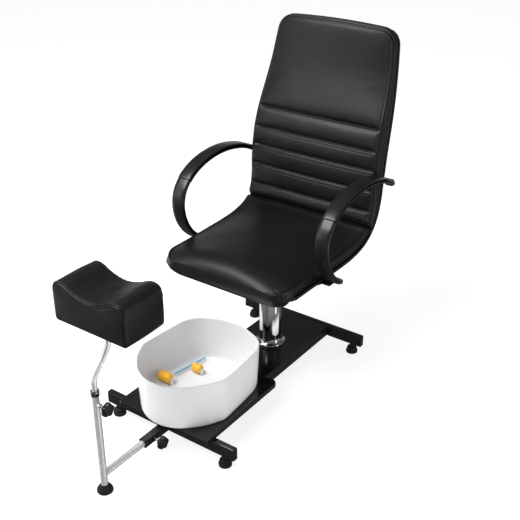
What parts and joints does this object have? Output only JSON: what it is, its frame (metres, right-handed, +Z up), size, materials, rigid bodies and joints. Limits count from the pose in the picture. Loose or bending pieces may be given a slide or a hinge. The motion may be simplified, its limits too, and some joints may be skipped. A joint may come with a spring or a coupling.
{
  "type": "pedicure spa chair",
  "caption": "Black swivel pedicure chair with a channelled back, looped armrests, a foot basin on a tray and a padded leg rest on an adjustable chrome strut.",
  "frame": {"origin": "middle of the chair's footprint, on the floor", "axes": "+Z up, the sitter faces -Y, and +X is the sitter's left"},
  "size_m": [0.601, 1.2563, 1.1155],
  "materials": {
    "black_steel": "gloss powder coat",
    "chrome": "polished",
    "black_rubber": "matt",
    "black_plastic": "fine grain",
    "black_leather": "soft sheen",
    "white_plastic": "satin",
    "orange_plastic": "satin",
    "teal_plastic": "satin",
    "zinc_steel": "zinc plated"
  },
  "bodies": {
    "base": {"front_beam": "black_steel", "rear_beam": "black_steel", "front_left_cap": "black_plastic", "front_right_cap": "black_plastic", "rear_left_cap": "black_plastic", "rear_right_cap": "black_plastic", "base_spine": "black_steel", "foot_tray": "black_steel", "strut_sleeve": "black_steel", "column_flange": "chrome", "column_cover": "chrome", "gas_cylinder": "black_steel"},
    "front left glide": {"front_left_glide": "black_rubber"},
    "front right glide": {"front_right_glide": "black_rubber"},
    "rear left glide": {"rear_left_glide": "black_rubber"},
    "rear right glide": {"rear_right_glide": "black_rubber"},
    "lift": {"piston_rod": "zinc_steel", "telescoping_cover": "chrome"},
    "seat": {"seat_bracket": "black_steel", "seat_shell": "black_leather", "seat_cushion": "black_leather", "back_cushion": "black_leather", "left_armrest": "black_plastic", "right_armrest": "black_plastic", "left_arm_pad": "black_plastic", "right_arm_pad": "black_plastic", "left_arm_screw": "zinc_steel", "right_arm_screw": "zinc_steel", "left_arm_front_bolt": "zinc_steel", "left_arm_rear_bolt": "zinc_steel", "right_arm_front_bolt": "zinc_steel", "right_arm_rear_bolt": "zinc_steel"},
    "height lever": {"height_lever": "zinc_steel", "lever_grip": "black_plastic"},
    "strut": {"strut_tube": "chrome", "upright_leg": "chrome", "leg_bush": "black_plastic"},
    "leg glide": {"leg_glide": "black_rubber"},
    "strut knob": {"strut_knob": "black_plastic", "strut_knob_stud": "zinc_steel"},
    "height knob": {"height_knob": "black_plastic", "height_knob_stud": "zinc_steel"},
    "post plug": {"post_plug": "black_plastic"},
    "footrest": {"footrest_post": "chrome", "footrest_plate": "black_steel", "footrest_cushion": "black_leather"},
    "basin": {"foot_basin": "white_plastic", "massage_bar": "teal_plastic", "front_roller_pin": "zinc_steel", "rear_roller_pin": "zinc_steel"},
    "front roller": {"front_roller": "orange_plastic"},
    "rear roller": {"rear_roller": "orange_plastic"}
  },
  "joints": [
    {"name": "front left glide turn", "type": "hinge", "parent": "base", "child": "front left glide", "pos_m": [0.212, -0.3204, 0], "axis": [0, 0, 1], "continuous": true},
    {"name": "front right glide turn", "type": "hinge", "parent": "base", "child": "front right glide", "pos_m": [-0.212, -0.3204, 0], "axis": [0, 0, 1], "continuous": true},
    {"name": "rear left glide turn", "type": "hinge", "parent": "base", "child": "rear left glide", "pos_m": [0.212, 0.4206, 0], "axis": [0, 0, 1], "continuous": true},
    {"name": "rear right glide turn", "type": "hinge", "parent": "base", "child": "rear right glide", "pos_m": [-0.212, 0.4206, 0], "axis": [0, 0, 1], "continuous": true},
    {"name": "seat height", "type": "slide", "parent": "base", "child": "lift", "axis": [0, 0, 1], "range_m": [-0.04, 0.08]},
    {"name": "seat swivel", "type": "hinge", "parent": "lift", "child": "seat", "pos_m": [0, 0.2171, 0.338], "axis": [0, 0, 1], "continuous": true},
    {"name": "height lever lift", "type": "hinge", "parent": "seat", "child": "height lever", "pos_m": [-0.06, 0.2471, 0.357], "axis": [0, 1, 0], "range_deg": [0, 7], "stiffness_Nm_per_rad": 3},
    {"name": "strut reach", "type": "slide", "parent": "base", "child": "strut", "axis": [0, 1, 0], "range_m": [-0.12, 0.12]},
    {"name": "leg glide turn", "type": "hinge", "parent": "strut", "child": "leg glide", "pos_m": [0, -0.6049, 0], "axis": [0, 0, 1], "continuous": true},
    {"name": "strut knob turn", "type": "hinge", "parent": "base", "child": "strut knob", "pos_m": [0.03, -0.4049, 0.06], "axis": [1, 0, 0], "continuous": true},
    {"name": "height knob turn", "type": "hinge", "parent": "strut", "child": "height knob", "pos_m": [0.03, -0.6049, 0.303], "axis": [1, 0, 0], "continuous": true},
    {"name": "footrest height", "type": "slide", "parent": "strut", "child": "post plug", "axis": [0, 0, 1], "range_m": [-0.015, 0.12]},
    {"name": "footrest swivel", "type": "hinge", "parent": "post plug", "child": "footrest", "pos_m": [0, -0.6049, 0.345], "axis": [0, 0, 1], "continuous": true},
    {"name": "basin lift off", "type": "slide", "parent": "base", "child": "basin", "axis": [0, 0, 1], "range_m": [0, 0.07]},
    {"name": "front roller spin", "type": "hinge", "parent": "basin", "child": "front roller", "pos_m": [-0.113, -0.2039, 0.1158], "axis": [1, 0, 0], "continuous": true},
    {"name": "rear roller spin", "type": "hinge", "parent": "basin", "child": "rear roller", "pos_m": [-0.064, -0.1049, 0.1138], "axis": [1, 0, 0], "continuous": true}
  ]
}
